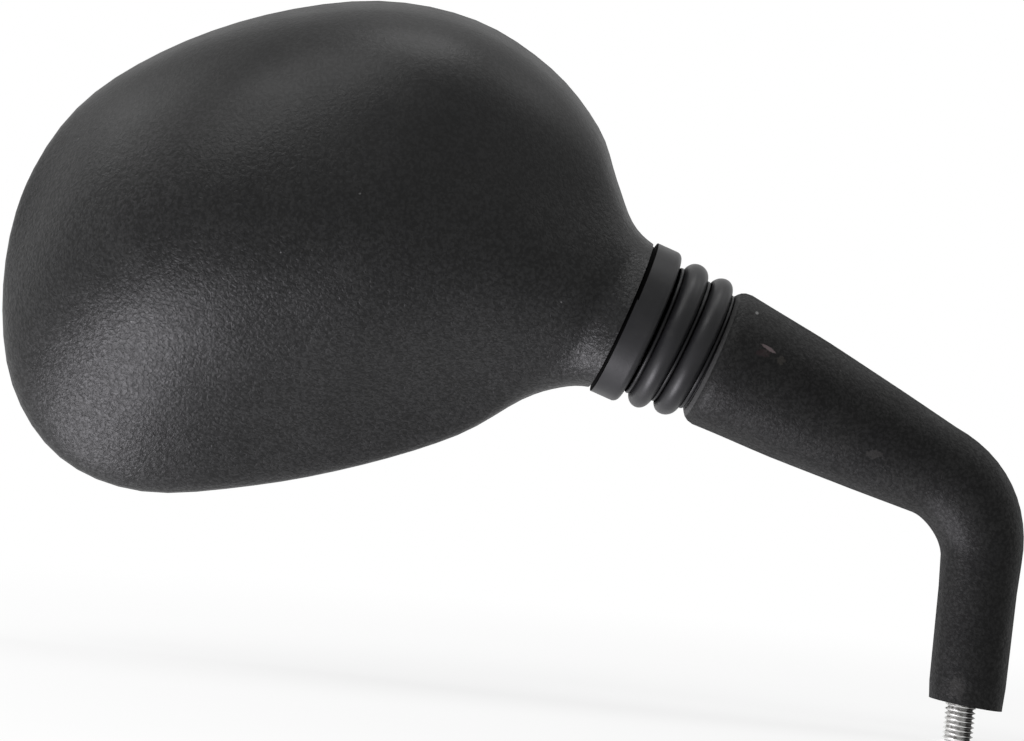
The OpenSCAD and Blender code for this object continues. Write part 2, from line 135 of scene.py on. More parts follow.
def addNoise(place, scale, detail, **more):
    inputs = {"Vector": place, "Scale": scale, "Detail": detail, **more}
    return addNode(place.tree, "ShaderNodeTexNoise", inputs)


def newGroup(name, kind, inputs, outputs):
    tree = bpy.data.node_groups.new(name, kind)
    for title, socket, value in inputs:
        made = tree.interface.new_socket(title, in_out="INPUT", socket_type=socket)
        if value is not None:
            made.default_value = value
    for title, socket in outputs:
        tree.interface.new_socket(title, in_out="OUTPUT", socket_type=socket)
    entry = addNode(tree, "NodeGroupInput")
    given = {title: read(entry, title) for title, socket, value in inputs}
    return tree, given, addNode(tree, "NodeGroupOutput").inputs


# camera, at the photograph's place
cameraSet = {
    "place": (-0.17759, -0.99207, 0.07435), "heading": 3.0, "roll": 6.2, "lens": 135.2, "sensor": 36.0,
}


def makeCamera(view):
    heading, roll = math.radians(view["heading"]), math.radians(view["roll"])
    ahead = Vector((math.sin(heading), math.cos(heading), 0))
    right = Vector((math.cos(heading), -math.sin(heading), 0))
    up = Vector((0, 0, 1))
    data = bpy.data.cameras.new("photoCamera")
    data.lens, data.sensor_width = view["lens"], view["sensor"]
    camera = bpy.data.objects.new("photoCamera", data)
    scene.collection.objects.link(camera)
    across = right * math.cos(roll) + up * math.sin(roll)
    upright = up * math.cos(roll) - right * math.sin(roll)
    turned = Matrix((across, upright, -ahead)).transposed().to_4x4()
    camera.matrix_world = Matrix.Translation(view["place"]) @ turned
    scene.camera = camera


makeCamera(cameraSet)

# light and background; gloss doesn't show a lamp that isn't mirrored
lightSet = {
    "worldGrey": 0.15, "aim": (-0.14, 0.0, 0.08), "size": 0.6,
    "lamps": {
        "keyLowLeft": {"place": (-0.762, -0.319, -0.895), "watts": 26.5, "tint": (0.965, 0.94, 1.0)},
        "keyLeft": {"place": (-1.103, -0.158, -0.618), "watts": 6.2},
        "top": {"place": (-0.559, -0.486, 1.094), "watts": 5.0},
        "rimLeft": {"place": (-1.065, 0.153, 0.829), "watts": 2.8},
        "rimTop": {"place": (-0.058, 0.038, 1.277), "watts": 4.2},
        "rimRight": {"place": (0.614, 0.065, 1.012), "watts": 1.5},
        "behind": {"place": (-0.45, 1.05, 0.62), "watts": 2.0, "mirrored": False},
    },
}


# 1 for rays that see a surface directly, in gloss or through glass, 0 for the light it gives off
def seenDirectly(tree):
    rays = addNode(tree, "ShaderNodeLightPath")
    seen = reckon("MAXIMUM", read(rays, "Is Camera Ray"), read(rays, "Is Glossy Ray"))
    return reckon("MAXIMUM", seen, read(rays, "Is Transmission Ray"))


def makeWorld(grey):
    world = bpy.data.worlds.new("studio")
    world.use_nodes = True
    tree = world.node_tree
    tree.nodes.clear()
    light = addNode(tree, "ShaderNodeBackground", {"Color": (1, 1, 1, 1), "Strength": grey})
    white = addNode(tree, "ShaderNodeBackground", {"Color": (1, 1, 1, 1), "Strength": 1.0})
    both = addNode(tree, "ShaderNodeMixShader", {0: seenDirectly(tree), 1: read(light), 2: read(white)})
    addNode(tree, "ShaderNodeOutputWorld", {"Surface": read(both)})
    scene.world = world


def makeLamp(name, lamp, aim, size):
    data = bpy.data.lights.new(name, "AREA")
    data.shape, data.size, data.energy = "DISK", size, lamp["watts"]
    data.color = lamp.get("tint", (1, 1, 1))
    made = bpy.data.objects.new(name, data)
    scene.collection.objects.link(made)
    made.visible_glossy = lamp.get("mirrored", True)
    turned = (Vector(aim) - Vector(lamp["place"])).to_track_quat("-Z", "Y").to_matrix().to_4x4()
    made.matrix_world = Matrix.Translation(lamp["place"]) @ turned


makeWorld(lightSet["worldGrey"])
for name, lamp in lightSet["lamps"].items():
    makeLamp(name, lamp, lightSet["aim"], lightSet["size"])

floorSet = {"height": -0.0091, "half": 4.0, "colour": (0.86, 0.86, 0.86), "clear": 0.80, "fade": (0.10, 0.45)}


def makeFloor(look):
    mesh = bpy.data.meshes.new("floor")
    half, height = look["half"], look["height"]
    corners = [(x * half, y * half, height) for x, y in ((-1, -1), (1, -1), (1, 1), (-1, 1))]
    mesh.from_pydata(corners, [], [(0, 1, 2, 3)])
    floor = bpy.data.objects.new("floor", mesh)
    scene.collection.objects.link(floor)
    material = bpy.data.materials.new("paleFloor")
    material.use_nodes = True
    tree = material.node_tree
    tree.nodes.clear()
    away = addVector("LENGTH", read(addNode(tree, "ShaderNodeTexCoord"), "Object"), output="Value")
    clear = mapRange(away, look["fade"], (look["clear"], 1.0), smooth=True)
    lit = addNode(tree, "ShaderNodeBsdfDiffuse", {"Color": (*look["colour"], 1)})
    white = addNode(tree, "ShaderNodeEmission", {"Color": (1, 1, 1, 1), "Strength": 1.0})
    both = addNode(tree, "ShaderNodeMixShader", {0: seenDirectly(tree) * clear, 1: read(lit), 2: read(white)})
    addNode(tree, "ShaderNodeOutputMaterial", {"Surface": read(both)})
    mesh.materials.append(material)
    floor.visible_shadow = False  # like a light table: the lamps below it shine through


makeFloor(floorSet)
print("camera, lamps and floor made")

# moulded grain: round pebbles blended with bent ridges, the pits between them and a slow mottle
grainSet = {
    "pebbleBlend": 0.6, "ridgeDetail": 2.0, "ridgeRough": 0.6, "ridgeBend": 1.1, "pit": (0.44, 0.58),
    "mottleScale": 70.0, "mottleDetail": 4.0, "mottleRough": 0.6, "mottle": (0.35, 0.68),
}


def makeGrain(look):
    inputs = [("Vector", vectorSocket, None), ("Cell", floatSocket, 0.0006), ("Softness", floatSocket, 0.5)]
    outputs = [("Height", floatSocket), ("Pit", floatSocket), ("Mottle", floatSocket)]
    tree, given, result = newGroup("mouldedGrain", "ShaderNodeTree", inputs, outputs)
    place, scale = given["Vector"], 1.0 / given["Cell"]
    cell = {"Vector": place, "Scale": scale, "Smoothness": look["pebbleBlend"]}
    pebbles = addNode(tree, "ShaderNodeTexVoronoi", cell, feature="SMOOTH_F1")
    pebble = reckon("SUBTRACT", 1.0, read(pebbles, "Distance"), clamp=True)
    bent = {"Roughness": look["ridgeRough"], "Distortion": look["ridgeBend"]}
    ridge = read(addNoise(place, scale, look["ridgeDetail"], **bent), "Fac")
    blend = {0: given["Softness"], 2: pebble, 3: ridge}
    height = read(addNode(tree, "ShaderNodeMix", blend, data_type="FLOAT"))
    mottle = addNoise(place, look["mottleScale"], look["mottleDetail"], Roughness=look["mottleRough"])
    feed(result["Height"], height)
    feed(result["Pit"], mapRange(height, look["pit"], (1.0, 0.0)))
    feed(result["Mottle"], mapRange(read(mottle, "Fac"), look["mottle"]))
    return tree


# dust: a few cells hold one small speck each, bent so that it isn't round
dustSet = {"bendScale": 900.0, "bendDetail": 1.0, "bend": 0.0006}


def makeDust(look):
    inputs = [("Vector", vectorSocket, None), ("Spacing", floatSocket, 0.006)]
    inputs += [("Size", floatSocket, 0.05), ("Share", floatSocket, 0.3)]
    tree, given, result = newGroup("looseDust", "ShaderNodeTree", inputs, [("Mask", floatSocket)])
    bend = read(addNoise(given["Vector"], look["bendScale"], look["bendDetail"]), "Color")
    moved = addVector("ADD", given["Vector"], addVector("MULTIPLY", bend, (look["bend"],) * 3))
    cell = {"Vector": moved, "Scale": 1.0 / given["Spacing"]}
    cells = addNode(tree, "ShaderNodeTexVoronoi", cell, feature="F1")
    chance = read(addNode(tree, "ShaderNodeSeparateColor", {0: read(cells, "Color")}), 1)
    feed(result["Mask"], (read(cells, "Distance") < given["Size"]) * (chance < given["Share"]))
    return tree


# scuff: an oval patch, turned about the y axis, with a ragged edge
scuffSet = {"ragScale": 900.0, "ragDetail": 3.0, "ragStrength": 4.0, "edge": (0.75, 1.1)}


def makeScuff(look):
    inputs = [("Vector", vectorSocket, None), ("Centre", vectorSocket, None)]
    inputs += [("Reach", vectorSocket, (0.002, 0.002, 0.002))]
    inputs += [("Turn", floatSocket, 0.0), ("Raggedness", floatSocket, 0.6)]
    tree, given, result = newGroup("scuffPatch", "ShaderNodeTree", inputs, [("Mask", floatSocket)])
    away = {"Vector": addVector("SUBTRACT", given["Vector"], given["Centre"]), "Angle": given["Turn"]}
    turned = read(addNode(tree, "ShaderNodeVectorRotate", away, rotation_type="Y_AXIS"))
    far = addVector("LENGTH", addVector("DIVIDE", turned, given["Reach"]), output="Value")
    rag = read(addNoise(given["Vector"], look["ragScale"], look["ragDetail"]), "Fac") - 0.5
    ragged = rag * (given["Raggedness"] * look["ragStrength"]) + far
    feed(result["Mask"], mapRange(ragged, look["edge"], (1.0, 0.0), smooth=True))
    return tree


# marks of turning or plating: fine lines along one way, and stains
brushSet = {"lineDetail": 4.0, "lineRough": 0.6, "stainDetail": 3.0, "stain": (0.45, 0.65)}


def makeBrushing(look):
    inputs = [("Vector", vectorSocket, None), ("Stretch", vectorSocket, (1.0, 1.0, 20.0))]
    inputs += [("Scale", floatSocket, 400.0)]
    outputs = [("Lines", floatSocket), ("Stain", floatSocket)]
    tree, given, result = newGroup("turningMarks", "ShaderNodeTree", inputs, outputs)
    stretched = addVector("MULTIPLY", given["Vector"], given["Stretch"])
    lines = addNoise(stretched, given["Scale"], look["lineDetail"], Roughness=look["lineRough"])
    stain = addNoise(given["Vector"], given["Scale"], look["stainDetail"])
    feed(result["Lines"], read(lines, "Fac"))
    feed(result["Stain"], mapRange(read(stain, "Fac"), look["stain"]))
    return tree


grainGroup, dustGroup = makeGrain(grainSet), makeDust(dustSet)
scuffGroup, brushGroup = makeScuff(scuffSet), makeBrushing(brushSet)


def useGroup(group, place, **inputs):
    return addNode(place.tree, "ShaderNodeGroup", {"Vector": place, **inputs}, node_tree=group)


def startMaterial(name):
    material = bpy.data.materials.new(name)
    material.use_nodes = True
    tree = material.node_tree
    tree.nodes.clear()
    shader = addNode(tree, "ShaderNodeBsdfPrincipled")
    addNode(tree, "ShaderNodeOutputMaterial", {"Surface": read(shader)})
    return material, shader.inputs, read(addNode(tree, "ShaderNodeTexCoord"), "Object")


def addBump(shader, height, strength, distance):
    inputs = {"Strength": strength, "Distance": distance, "Height": height}
    feed(shader["Normal"], read(addNode(height.tree, "ShaderNodeBump", inputs)))


def dustMask(place, dust):
    return read(useGroup(dustGroup, place, Spacing=dust["spacing"], Size=dust["size"], Share=dust["share"]))


def strewDust(place, colour, dust):
    return mixColour(dustMask(place, dust) * dust["strength"], colour, dust["colour"])


def addScuff(place, colour, scuff):
    shape = {"Centre": scuff["at"], "Reach": scuff["reach"], "Turn": math.radians(scuff.get("turn", 0.0))}
    patch = useGroup(scuffGroup, place, Raggedness=scuff["ragged"], **shape)
    return mixColour(read(patch) * scuff["strength"], colour, scuff["colour"])


# a thin lighter line round the neck's axis, a painted highlight where a moulded edge would catch the light
def addPaintedEdgeHighlight(place, colour, edge):
    along = addVector("DOT_PRODUCT", addVector("SUBTRACT", place, ball), neckAxis, output="Value")
    off = reckon("ABSOLUTE", along - edge["fromBall"])
    line = mapRange(off, (edge["half"] / 2, edge["half"]), (edge["strength"], 0.0), smooth=True)
    return mixColour(line, colour, edge["colour"])


def blackPlastic(look):
    material, shader, place = startMaterial(look["name"])
    grain = useGroup(grainGroup, place, Cell=look["cell"], Softness=look["softness"])
    height, pit, mottle = (read(grain, title) for title in ("Height", "Pit", "Mottle"))
    colour = mixColour(mottle, look["dark"], look["light"])
    colour = mixColour(pit * look["pit"], colour, look["pitColour"])
    for scuff in look["scuffs"]:
        colour = addScuff(place, colour, scuff)
    colour = strewDust(place, colour, look["dust"])
    if "edge" in look:
        colour = addPaintedEdgeHighlight(place, colour, look["edge"])
    feed(shader["Base Color"], colour)
    feed(shader["Roughness"], mapRange(mottle, (0.0, 1.0), look["rough"]))
    # the gloss follows the grain and fades towards the outline, and the grain is flatter higher up
    facing = read(addNode(place.tree, "ShaderNodeLayerWeight", {"Blend": 0.5}), "Facing")
    gloss = mapRange(facing, look["rim"], (look["specular"], look["rimSpecular"]), smooth=True)
    high = read(addNode(place.tree, "ShaderNodeSeparateXYZ", {0: place}), "Z")
    kept = mapRange(high, look["flatter"], (1.0, look["flatterShare"]), smooth=True)
    grainy = mapRange(height, look["grainSpan"], (-look["grainShare"], look["grainShare"])) * kept
    feed(shader["Specular IOR Level"], gloss * (grainy + 1.0))
    addBump(shader, height, kept * look["bump"], look["bumpDepth"])
    return material


speck = {"reach": (0.0005, 0.0012, 0.0005), "ragged": 0.15, "strength": 0.8, "colour": (0.30, 0.30, 0.30)}
housingFinish = {
    "name": "housingPlastic", "dark": (0.0095, 0.0096, 0.0098), "light": (0.0130, 0.0131, 0.0133),
    "rough": (0.36, 0.42), "cell": 0.0010, "softness": 0.7, "pit": 0.6, "pitColour": (0.004, 0.004, 0.004),
    "specular": 0.18, "rim": (0.70, 0.97), "rimSpecular": 0.02, "flatter": (0.09, 0.14), "flatterShare": 0.3,
    "grainSpan": (0.42, 0.70), "grainShare": 0.24, "bump": 1.0, "bumpDepth": 0.00029,
    "dust": {"spacing": 0.007, "size": 0.035, "share": 0.12, "strength": 0.5, "colour": (0.16, 0.16, 0.16)},
    "scuffs": [dict(speck, at=at) for at in (
        (-0.18108, -0.01505, 0.14967), (-0.13711, -0.01205, 0.12947), (-0.13094, -0.01077, 0.12535),
        (-0.15633, -0.02384, 0.12166), (-0.14162, -0.02365, 0.10987), (-0.16895, -0.02066, 0.08436),
        (-0.1079, -0.01908, 0.08798))],
}
armFinish = {
    "name": "armPlastic", "dark": (0.0105, 0.0105, 0.0107), "light": (0.0150, 0.0150, 0.0148),
    "rough": (0.42, 0.54), "cell": 0.0009, "softness": 0.7, "pit": 0.5, "pitColour": (0.004, 0.004, 0.004),
    "specular": 0.10, "rim": (0.50, 0.90), "rimSpecular": 0.01, "flatter": (0.0, 1.0), "flatterShare": 1.0,
    "grainSpan": (0.42, 0.70), "grainShare": 0.3, "bump": 0.7, "bumpDepth": 0.0003,
    # painted highlight: a lighter line at the arm's shoulder edge
    "edge": {"fromBall": 0.0357, "half": 0.0007, "strength": 0.8, "colour": (0.05, 0.05, 0.05)},
    "dust": {"spacing": 0.006, "size": 0.035, "share": 0.10, "strength": 0.4, "colour": (0.13, 0.13, 0.125)},
    "scuffs": [
        {"at": (-0.06195, -0.0153, 0.08703), "reach": (0.0024, 0.005, 0.0005), "turn": -25.0,
         "ragged": 0.3, "strength": 0.75, "colour": (0.17, 0.135, 0.14)},
        {"at": (-0.0634, -0.0155, 0.0857), "reach": (0.0017, 0.005, 0.0012),
         "ragged": 0.6, "strength": 0.4, "colour": (0.045, 0.030, 0.032)},
        {"at": (-0.0584, -0.0155, 0.0842), "reach": (0.0012, 0.005, 0.0010),
         "ragged": 0.5, "strength": 0.4, "colour": (0.055, 0.050, 0.045)},
        {"at": (-0.0316, -0.0139, 0.0630), "reach": (0.0020, 0.004, 0.0011),
         "ragged": 0.6, "strength": 0.18, "colour": (0.085, 0.08, 0.078)},
        dict(speck, at=(-0.06531, -0.0114, 0.09577), strength=0.5),
        dict(speck, at=(-0.0555, -0.0155, 0.0893), strength=0.4),
        {"at": (-0.0030, -0.0090, 0.0055), "reach": (0.0020, 0.004, 0.0035),
         "ragged": 0.6, "strength": 0.16, "colour": (0.075, 0.072, 0.07)},
    ],
}
bezelFinish = dict(
    housingFinish, name="bezelPlastic", dark=(0.013, 0.013, 0.0135), light=(0.018, 0.018, 0.0185),
    rough=(0.37, 0.43), cell=0.0005, pit=0.2, bump=0.25, scuffs=[])
materials = {look["name"]: blackPlastic(look) for look in (housingFinish, armFinish, bezelFinish)}

# rubber: a pale bloom in patches, and painted shade in the grooves, which are darker and less glossy than the
# folds
rubberFinish = {
    "dark": (0.008, 0.008, 0.009), "light": (0.014, 0.014, 0.015), "cell": 0.0011, "softness": 0.85,
    "bloom": (0.035, 0.035, 0.033), "bloomScale": 210.0, "bloomDetail": 5.0, "bloomRough": 0.7,
    "bloomSpan": (0.56, 0.74), "bloomShare": 0.25, "roughSpan": (0.3, 0.7), "rough": (0.36, 0.48),
    "specular": 0.20, "groove": 0.003, "paintedGrooveShadeSpan": (0.25, 0.60), "paintedGrooveShade": (0.001, 0.001, 0.001),
    "dust": {"spacing": 0.004, "size": 0.05, "share": 0.12, "strength": 0.4, "colour": (0.12, 0.12, 0.115)},
    "bump": 0.18, "bumpDepth": 0.0001,
}


def blackRubber(look):
    material, shader, place = startMaterial("blackRubber")
    grain = useGroup(grainGroup, place, Cell=look["cell"], Softness=look["softness"])
    colour = mixColour(read(grain, "Mottle"), look["dark"], look["light"])
    patches = addNoise(place, look["bloomScale"], look["bloomDetail"], Roughness=look["bloomRough"])
    bloom = read(patches, "Fac")
    colour = mixColour(mapRange(bloom, look["bloomSpan"], (0.0, look["bloomShare"])), colour, look["bloom"])
    colour = strewDust(place, colour, look["dust"])
    # painted shade: ambient occlusion darkens the colour and takes away the gloss in the grooves and the
    # collar's gap
    openness = addNode(place.tree, "ShaderNodeAmbientOcclusion", {"Distance": look["groove"]}, samples=4)
    clear = mapRange(read(openness, "AO"), look["paintedGrooveShadeSpan"], smooth=True)
    feed(shader["Base Color"], mixColour(clear, look["paintedGrooveShade"], colour))
    feed(shader["Roughness"], mapRange(bloom, look["roughSpan"], look["rough"]))
    feed(shader["Specular IOR Level"], clear * look["specular"])
    addBump(shader, read(grain, "Height"), look["bump"], look["bumpDepth"])
    return material


# bare metals: all share how far the fine lines go into the roughness and the surface
metalLines = {"roughSpan": (0.3, 0.7), "bumpDepth": 0.00005}
metalFinishes = [
    {"name": "zincPlate", "dark": (0.50, 0.50, 0.49), "light": (0.72, 0.72, 0.70), "rough": (0.22, 0.38),
     "stain": (0.34, 0.33, 0.30), "stainShare": 0.35, "stretch": (1.0, 1.0, 1.0), "scale": 900.0,
     "bump": 0.12},
    {"name": "groundSteel", "dark": (0.46, 0.46, 0.47), "light": (0.66, 0.66, 0.66), "rough": (0.18, 0.34),
     "stain": (0.20, 0.17, 0.12), "stainShare": 0.25, "stretch": (18.0, 1.0, 1.0), "scale": 300.0,
     "bump": 0.10},
    {"name": "springSteel", "dark": (0.26, 0.24, 0.20), "light": (0.42, 0.39, 0.33), "rough": (0.28, 0.42),
     "stain": (0.12, 0.10, 0.07), "stainShare": 0.3, "stretch": (1.0, 1.0, 1.0), "scale": 500.0,
     "bump": 0.08},
]


def metal(look, shared):
    material, shader, place = startMaterial(look["name"])
    marks = useGroup(brushGroup, place, Stretch=look["stretch"], Scale=look["scale"])
    lines = read(marks, "Lines")
    colour = mixColour(lines, look["dark"], look["light"])
    feed(shader["Base Color"], mixColour(read(marks, "Stain") * look["stainShare"], colour, look["stain"]))
    feed(shader["Roughness"], mapRange(lines, shared["roughSpan"], look["rough"]))
    feed(shader["Metallic"], 1.0)
    addBump(shader, lines, look["bump"], shared["bumpDepth"])
    return material


# plain mouldings of one colour: all share a fine grain
mouldingGrain = {"cell": 0.0008, "softness": 0.8, "bump": 0.12, "bumpDepth": 0.0001}
mouldingFinishes = [
    {"name": "linerMoulding", "dark": (0.62, 0.60, 0.52), "light": (0.74, 0.72, 0.64),
     "rough": (0.33, 0.43), "specular": 0.5},
    {"name": "backingMoulding", "dark": (0.045, 0.045, 0.047), "light": (0.065, 0.065, 0.067),
     "rough": (0.50, 0.60), "specular": 0.5},
    # painted shade: a near-black, nearly glossless finish for the lip that stands for the shadow in the gap
    # between collar and neck
    {"name": "paintedGapShade", "dark": (0.001, 0.001, 0.001), "light": (0.003, 0.003, 0.003),
     "rough": (0.75, 0.85), "specular": 0.02},
]


def plainMoulding(look, shared):
    material, shader, place = startMaterial(look["name"])
    grain = useGroup(grainGroup, place, Cell=shared["cell"], Softness=shared["softness"])
    feed(shader["Base Color"], mixColour(read(grain, "Mottle"), look["dark"], look["light"]))
    feed(shader["Roughness"], mapRange(read(grain, "Mottle"), (0.0, 1.0), look["rough"]))
    feed(shader["Specular IOR Level"], look["specular"])
    addBump(shader, read(grain, "Height"), shared["bump"], shared["bumpDepth"])
    return material


# silvered glass: a haze in patches and a little dust
glassFinish = {
    "silver": (0.62, 0.64, 0.66), "haze": (0.56, 0.575, 0.59), "rough": (0.012, 0.06),
    "hazeScale": 45.0, "hazeDetail": 5.0, "hazeRough": 0.62, "hazeSpan": (0.52, 0.78),
    "dust": {"spacing": 0.005, "size": 0.03, "share": 0.25}, "coat": 0.5, "coatRough": 0.02,
}


def silveredGlass(look):
    material, shader, place = startMaterial("silveredGlass")
    haze = read(addNoise(place, look["hazeScale"], look["hazeDetail"], Roughness=look["hazeRough"]), "Fac")
    mask = reckon("MAXIMUM", mapRange(haze, look["hazeSpan"]), dustMask(place, look["dust"]))
    feed(shader["Base Color"], mixColour(mask, look["silver"], look["haze"]))
    feed(shader["Roughness"], mapRange(mask, (0.0, 1.0), look["rough"]))
    feed(shader["Metallic"], 1.0)
    feed(shader["Coat Weight"], look["coat"])
    feed(shader["Coat Roughness"], look["coatRough"])
    return material


materials["blackRubber"] = blackRubber(rubberFinish)
materials.update({look["name"]: metal(look, metalLines) for look in metalFinishes})
materials.update({look["name"]: plainMoulding(look, mouldingGrain) for look in mouldingFinishes})
materials["silveredGlass"] = silveredGlass(glassFinish)
print("finishes made:", len(materials))

# the solids that stay: a finish each, and smoothed faces
nodeFinish = {
    "arm": "armPlastic", "housing": "housingPlastic", "bezel": "bezelPlastic",
    "mirror_glass": "silveredGlass", "glass_backing": "backingMoulding", "ball_liner": "linerMoulding",
    "ball_stud": "groundSteel", "stud_nut": "zincPlate", "pressure_cup": "groundSteel",
    "disc_springs": "springSteel", "retainer_plate": "zincPlate", "plate_screws": "zincPlate",
    "bellows": "blackRubber", "mounting_stud": "zincPlate",
}
smoothSet = {
    "degrees": {"arm": 28, "housing": 32, "bezel": 30},  # up to which two faces read as one
    "weld": 0.00001,
}


def smoothByAngle(shape, crease):
    tree = shape.tree
    faces = addNode(tree, "GeometryNodeSetShadeSmooth", {"Geometry": shape}, domain="FACE")
    angle = read(addNode(tree, "GeometryNodeInputMeshEdgeAngle"), "Unsigned Angle")
    pair = {0: angle, 1: crease}
    soft = addNode(tree, "FunctionNodeCompare", pair, data_type="FLOAT", operation="LESS_EQUAL")
    edges = {"Geometry": read(faces), "Shade Smooth": read(soft)}
    return read(addNode(tree, "GeometryNodeSetShadeSmooth", edges, domain="EDGE"))


def makeSmoothing(weld):
    inputs = [("Solid", shapeSocket, None), ("Crease Angle", floatSocket, 0.5)]
    tree, given, result = newGroup("smoothFaces", "GeometryNodeTree", inputs, [("Solid", shapeSocket)])
    named = {"Geometry": given["Solid"], "Name": "custom_normal"}
    bare = read(addNode(tree, "GeometryNodeRemoveAttribute", named))
    joined = read(addNode(tree, "GeometryNodeMergeByDistance", {"Geometry": bare, "Distance": weld}))
    feed(result[0], smoothByAngle(joined, given["Crease Angle"]))
    return tree


def setInput(modifier, title, value):
    for item in modifier.node_group.interface.items_tree:
        if item.item_type == "SOCKET" and item.in_out == "INPUT" and item.name == title:
            modifier[item.identifier] = value
            return
    raise ValueError("no input named " + title)


smoothing = makeSmoothing(smoothSet["weld"])
for name, finish in nodeFinish.items():
    solid = cad[name]
    solid.data.materials.clear()
    solid.data.materials.append(materials[finish])
    if name in smoothSet["degrees"]:
        modifier = solid.modifiers.new("smoothFaces", "NODES")
        modifier.node_group = smoothing
        setInput(modifier, "Crease Angle", math.radians(smoothSet["degrees"][name]))
print("solids finished:", len(nodeFinish))


def runTree(name, tree, values):
    carrier = bpy.data.objects.new(name + "Seed", bpy.data.meshes.new(name + "Seed"))
    scene.collection.objects.link(carrier)
    modifier = carrier.modifiers.new(name, "NODES")
    modifier.node_group = tree
    for title, value in values.items():
        setInput(modifier, title, value)
    depsgraph = bpy.context.evaluated_depsgraph_get()
    mesh = bpy.data.meshes.new_from_object(carrier.evaluated_get(depsgraph), depsgraph=depsgraph)
    mesh.name = name
    bpy.data.objects.remove(carrier)
    piece = bpy.data.objects.new(name, mesh)
    scene.collection.objects.link(piece)
    return piece


def turnOutwards(piece):
    mesh = piece.data
    mesh.calc_loop_triangles()
    volume = 0.0
    for triangle in mesh.loop_triangles:
        a, b, c = (mesh.vertices[corner].co for corner in triangle.vertices)
        volume += a.dot(b.cross(c)) / 6
    if volume < 0:
        mesh.flip_normals()
    print(piece.name, "faces", len(mesh.polygons), "volume mm3", round(abs(volume) * 1e9, 1))


# a flat grid with the share of the way along it and across it
def addGrid(tree, along, across):
    inputs = {"Size X": 1.0, "Size Y": 1.0, "Vertices X": along + 1, "Vertices Y": across + 1}
    grid = read(addNode(tree, "GeometryNodeMeshGrid", inputs), "Mesh")
    at = addNode(tree, "ShaderNodeSeparateXYZ", {0: read(addNode(tree, "GeometryNodeInputPosition"))})
    return grid, read(at, "X") + 0.5, read(at, "Y") + 0.5


def shapeGrid(grid, x, y, z, weld):
    spot = read(addNode(grid.tree, "ShaderNodeCombineXYZ", {0: x, 1: y, 2: z}))
    shaped = read(addNode(grid.tree, "GeometryNodeSetPosition", {"Geometry": grid, "Position": spot}))
    return read(addNode(grid.tree, "GeometryNodeMergeByDistance", {"Geometry": shaped, "Distance": weld}))


def realWithFinish(shape, finish):
    real = read(addNode(shape.tree, "GeometryNodeRealizeInstances", {"Geometry": shape}))
    return read(addNode(shape.tree, "GeometryNodeSetMaterial", {"Geometry": real, "Material": finish}))


# bellows: folds, low rings and collar turned round a line that bends a little
bellowsSet = {
    "neckEnd": 0.0103,  # from the ball; the stations below are counted from this end of the neck
    "start": 0.0001, "held": 0.0060, "split": 0.01742, "seam": 0.00002, "end": 0.0250,
    "values": {
        "Collar Radius": 0.021, "Collar From": 0.0012, "Collar To": 0.0083, "Collar Round": 0.0017,
        "Nick": 0.00035, "Lip Radius": 0.0196, "Tube Radius": 0.0155, "Bore": 0.014,
        "Lift": 0.00055, "Lean": math.radians(1.8), "Lean At": 0.020, "Lean Reach": 0.009,
    },
    "rings": {  # crest radius, station, half width
        "Low Ring 1": (0.0177, 0.0097, 0.0007), "Fold 1": (0.0202, 0.0133, 0.0030),
        "Low Ring 2": (0.0171, 0.0169, 0.0007), "Fold 2": (0.01935, 0.0205, 0.0030),
        "Low Ring 3": (0.0161, 0.0241, 0.0007)},
    "nickTurn": math.radians(217.2), "nickHalf": math.radians(67.2),
    "rows": 220, "boreRows": 9, "sides": 144, "weld": 0.000002, "crease": math.radians(40),
}
ringSizes = ("Crest", "Place", "Half Width")


def makeRingProfile():
    inputs = [("Station", floatSocket, 0.0), ("Crest", floatSocket, 0.02)]
    inputs += [("Place", floatSocket, 0.01), ("Half Width", floatSocket, 0.003)]
    tree, given, result = newGroup("ringProfile", "GeometryNodeTree", inputs, [("Radius", floatSocket)])
    off, half = given["Station"] - given["Place"], given["Half Width"]
    inside = half * half - off * off
    rise = reckon("SQRT", reckon("MAXIMUM", inside, 0.0))
    feed(result["Radius"], (given["Crest"] - half + rise) * (inside > 0.0))
    return tree


# the collar is rounded towards the folds and nicked towards the neck, where a lip fills the gap; the lip
# carries painted shade, a near-black finish standing for the shadow in the gap
def collarRadius(sizes, given, station, turn):
    near = station - (given["Collar To"] - given["Collar Round"])
    share = reckon("DIVIDE", near, given["Collar Round"], clamp=True)
    drop = 1.0 - reckon("SQRT", reckon("SUBTRACT", 1.0, share * share, clamp=True))
    collar = (given["Collar Radius"] - drop * given["Collar Round"]) * (station < given["Collar To"])
    nicked = reckon("ABSOLUTE", turn - sizes["nickTurn"]) < sizes["nickHalf"]
    lip = station < given["Collar From"] - nicked * given["Nick"]
    return lip * given["Lip Radius"] + (1.0 - lip) * collar, lip


